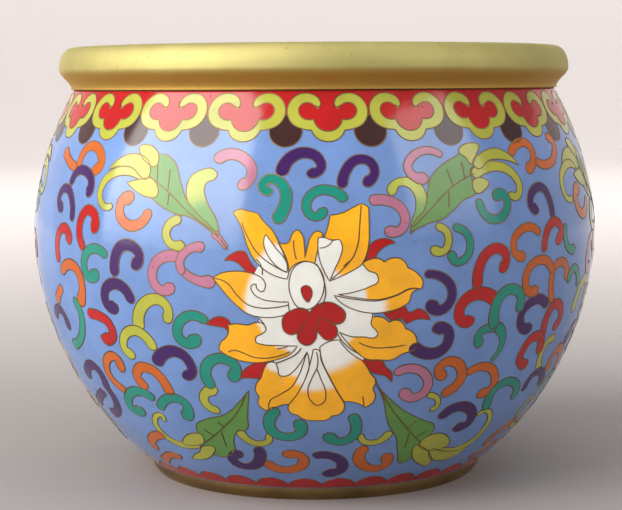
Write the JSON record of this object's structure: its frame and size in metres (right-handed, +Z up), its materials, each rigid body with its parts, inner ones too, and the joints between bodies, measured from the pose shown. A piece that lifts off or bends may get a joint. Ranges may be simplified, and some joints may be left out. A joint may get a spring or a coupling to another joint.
{
  "type": "cloisonne incense burner",
  "caption": "Round-bellied hollow bowl of enamelled copper with a heavy turned brass rim ring and a low brass foot ring, open at the mouth.",
  "frame": {"origin": "centre of the foot ring's underside, on the surface it stands on", "axes": "+Z up along the bowl's axis of turning; the large lotus of the enamel faces -Y"},
  "size_m": [0.15, 0.15, 0.1128],
  "materials": {
    "enamel_ground": "glossy periwinkle blue glass enamel",
    "rim_brass": "satin, turned",
    "foot_brass": "satin, turned",
    "wire_brass": "fine drawn wire, ground flush",
    "enamel_red": "glossy red glass enamel",
    "enamel_orange": "glossy orange glass enamel",
    "enamel_yellow": "glossy yellow glass enamel",
    "enamel_lime": "glossy lime glass enamel",
    "enamel_green": "glossy leaf green glass enamel",
    "enamel_teal": "glossy teal glass enamel",
    "enamel_purple": "glossy purple glass enamel",
    "enamel_pink": "glossy pink glass enamel",
    "enamel_white": "glossy white glass enamel",
    "enamel_brown": "glossy dark brown glass enamel"
  },
  "bodies": {
    "root": {"enamelled_bowl": "enamel_ground", "rim_ring": "rim_brass", "foot_ring": "foot_brass"}
  },
  "joints": []
}
